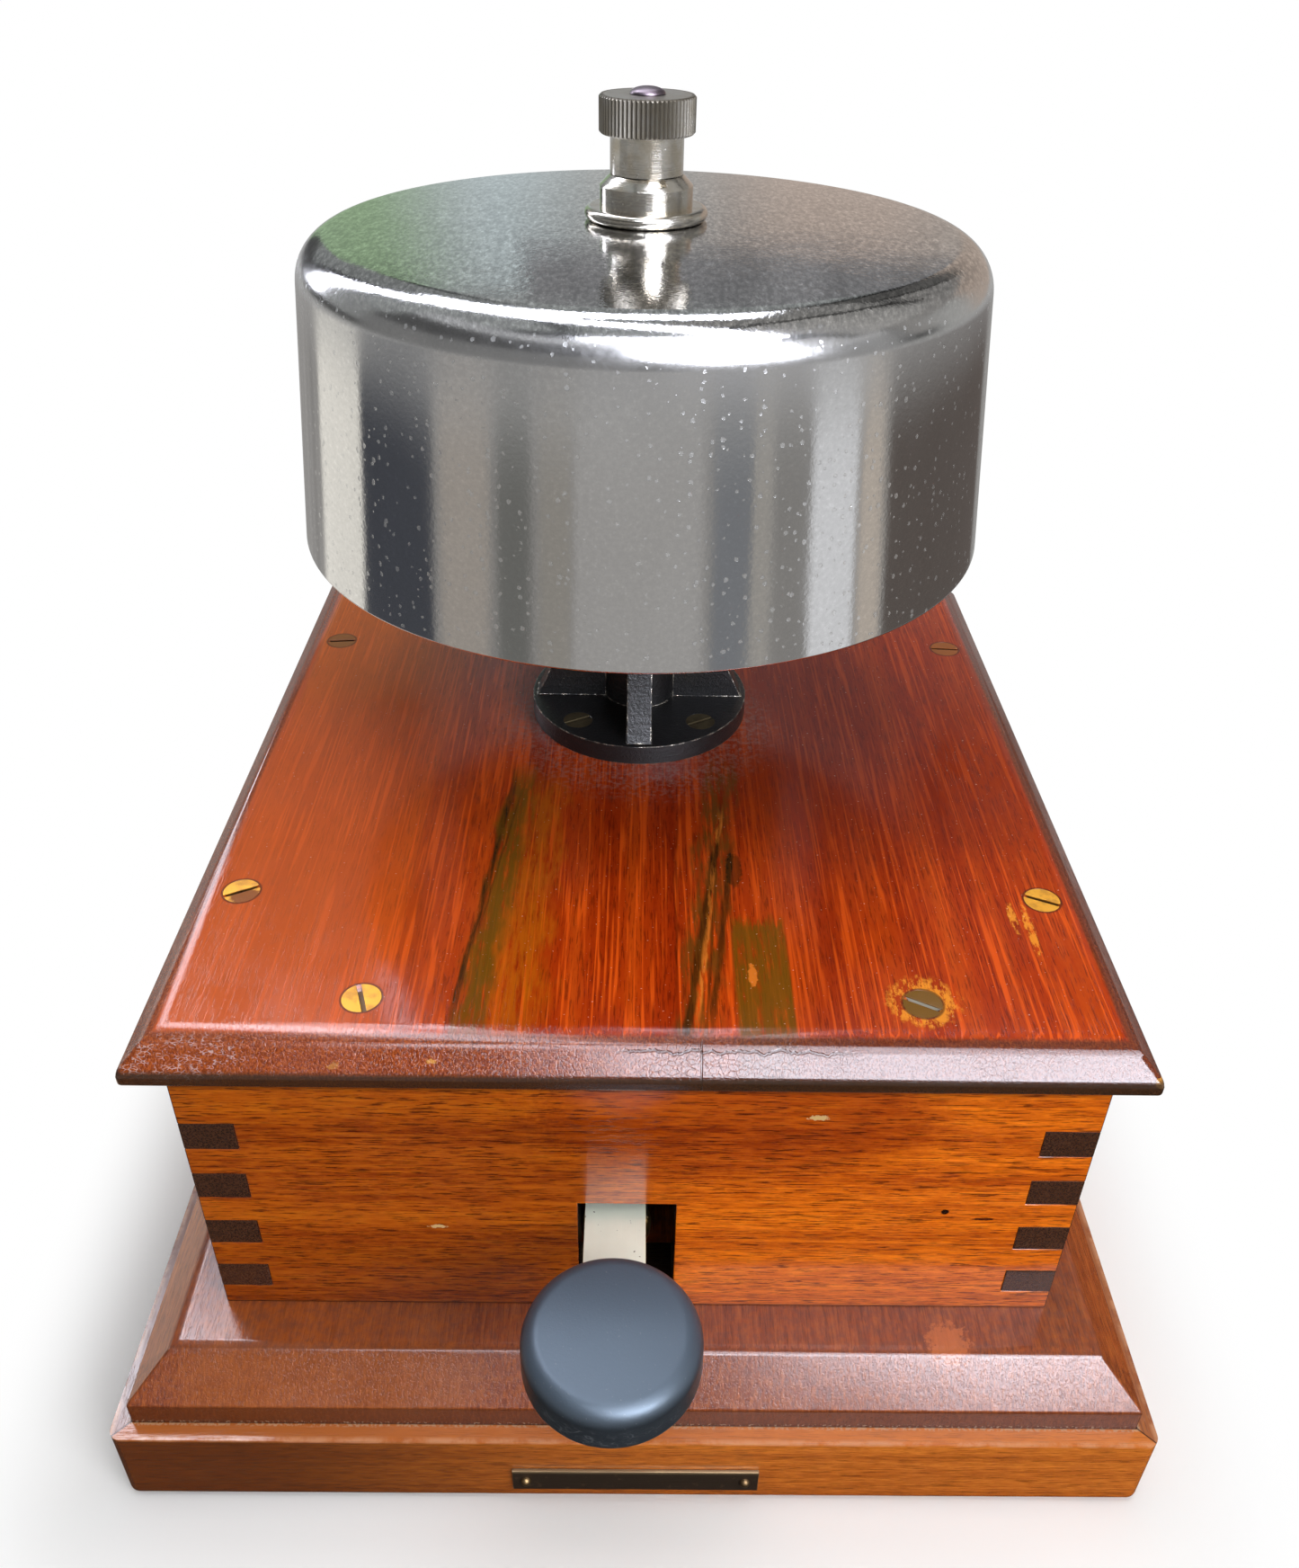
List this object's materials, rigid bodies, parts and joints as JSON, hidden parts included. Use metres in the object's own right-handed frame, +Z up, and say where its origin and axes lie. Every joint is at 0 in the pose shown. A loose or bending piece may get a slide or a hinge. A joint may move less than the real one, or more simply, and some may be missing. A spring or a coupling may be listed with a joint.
{
  "type": "railway block bell",
  "caption": "Single-stroke electric bell with a press key: finger-jointed wooden case on a bevelled base, domed gong on a ribbed pillar, knurled clamp knob.",
  "frame": {"origin": "centre of the underside of the base", "axes": "+Z up, the tapper and front face -Y, +X to the right of someone facing the tapper"},
  "size_m": [0.227, 0.265, 0.2672],
  "materials": {
    "mahogany_base": "glossy varnish",
    "mahogany_rail": "varnish, worn edges",
    "mahogany_case": "glossy varnish",
    "mahogany_side": "glossy varnish",
    "mahogany_lid": "glossy varnish, scratched",
    "screw_brass": "dulled",
    "brass": "machined",
    "plate_brass": "darkened",
    "lever_brass": "brushed",
    "bell_nickel": "polished, finely pitted",
    "fitting_nickel": "polished, worn warm",
    "steel": "machined",
    "soft_iron": "plain",
    "black_iron": "black paint, worn edges",
    "ebonite": "satin",
    "wire": "insulated copper",
    "leather": "plain"
  },
  "bodies": {
    "case": {"baseboard": "mahogany_base", "front_rail": "mahogany_rail", "rear_rail": "mahogany_rail", "left_rail": "mahogany_rail", "right_rail": "mahogany_rail", "case_front": "mahogany_case", "case_rear": "mahogany_case", "left_side": "mahogany_side", "right_side": "mahogany_side", "lid": "mahogany_lid", "lid_screws": "screw_brass", "pillar_screws": "screw_brass", "bracket_screws": "screw_brass", "terminal_board_screws": "screw_brass", "name_plate_pins": "screw_brass", "armature_bracket": "brass", "spring_post": "brass", "backstop_bracket": "brass", "backstop_screw": "brass", "backstop_nut": "brass", "tapper_bracket": "brass", "down_stop_post": "brass", "front_contact": "brass", "back_contact": "brass", "terminal_studs": "brass", "terminal_nuts": "brass", "name_plate": "plate_brass", "cap_screw": "steel", "bell_spindle": "steel", "armature_pin": "steel", "tapper_pin": "steel", "base_screws": "steel", "armature_spring": "steel", "tapper_spring": "steel", "yoke": "soft_iron", "left_core": "soft_iron", "right_core": "soft_iron", "pillar": "black_iron", "key_base": "ebonite", "terminal_board": "ebonite", "wire_bush": "ebonite", "left_bobbin": "ebonite", "right_bobbin": "ebonite", "left_winding": "wire", "right_winding": "wire", "leads": "wire", "seat_washer": "leather"},
    "tapper": {"tapper_lever": "lever_brass", "tapper_knob": "ebonite", "tapper_knob_screw": "steel"},
    "hammer": {"hammer_head": "brass", "hammer_rod": "steel", "armature": "soft_iron"},
    "dome": {"dome": "bell_nickel", "dome_flange": "fitting_nickel", "dome_collar": "fitting_nickel"},
    "thumb_knob": {"thumb_knob": "fitting_nickel"}
  },
  "joints": [
    {"name": "tapper_press", "type": "hinge", "parent": "case", "child": "tapper", "pos_m": [-0.005, -0.034, 0.061], "axis": [1, 0, 0], "range_deg": [0, 4.83], "stiffness_Nm_per_rad": 0.8, "springref_deg": -6.88, "deforming": ["tapper_spring"]},
    {"name": "hammer_swing", "type": "hinge", "parent": "case", "child": "hammer", "pos_m": [-0.0012, 0.052, 0.0982], "axis": [-1, 0, 0], "range_deg": [0, 2.56], "stiffness_Nm_per_rad": 0.15, "springref_deg": -17.19, "deforming": ["armature_spring"]},
    {"name": "dome_turn", "type": "hinge", "parent": "case", "child": "dome", "pos_m": [-0.0012, 0.022, 0.177], "axis": [0, 0, 1], "continuous": true},
    {"name": "knob_turn", "type": "hinge", "parent": "case", "child": "thumb_knob", "pos_m": [-0.0012, 0.022, 0.2505], "axis": [0, 0, 1], "range_deg": [0, 180]}
  ]
}
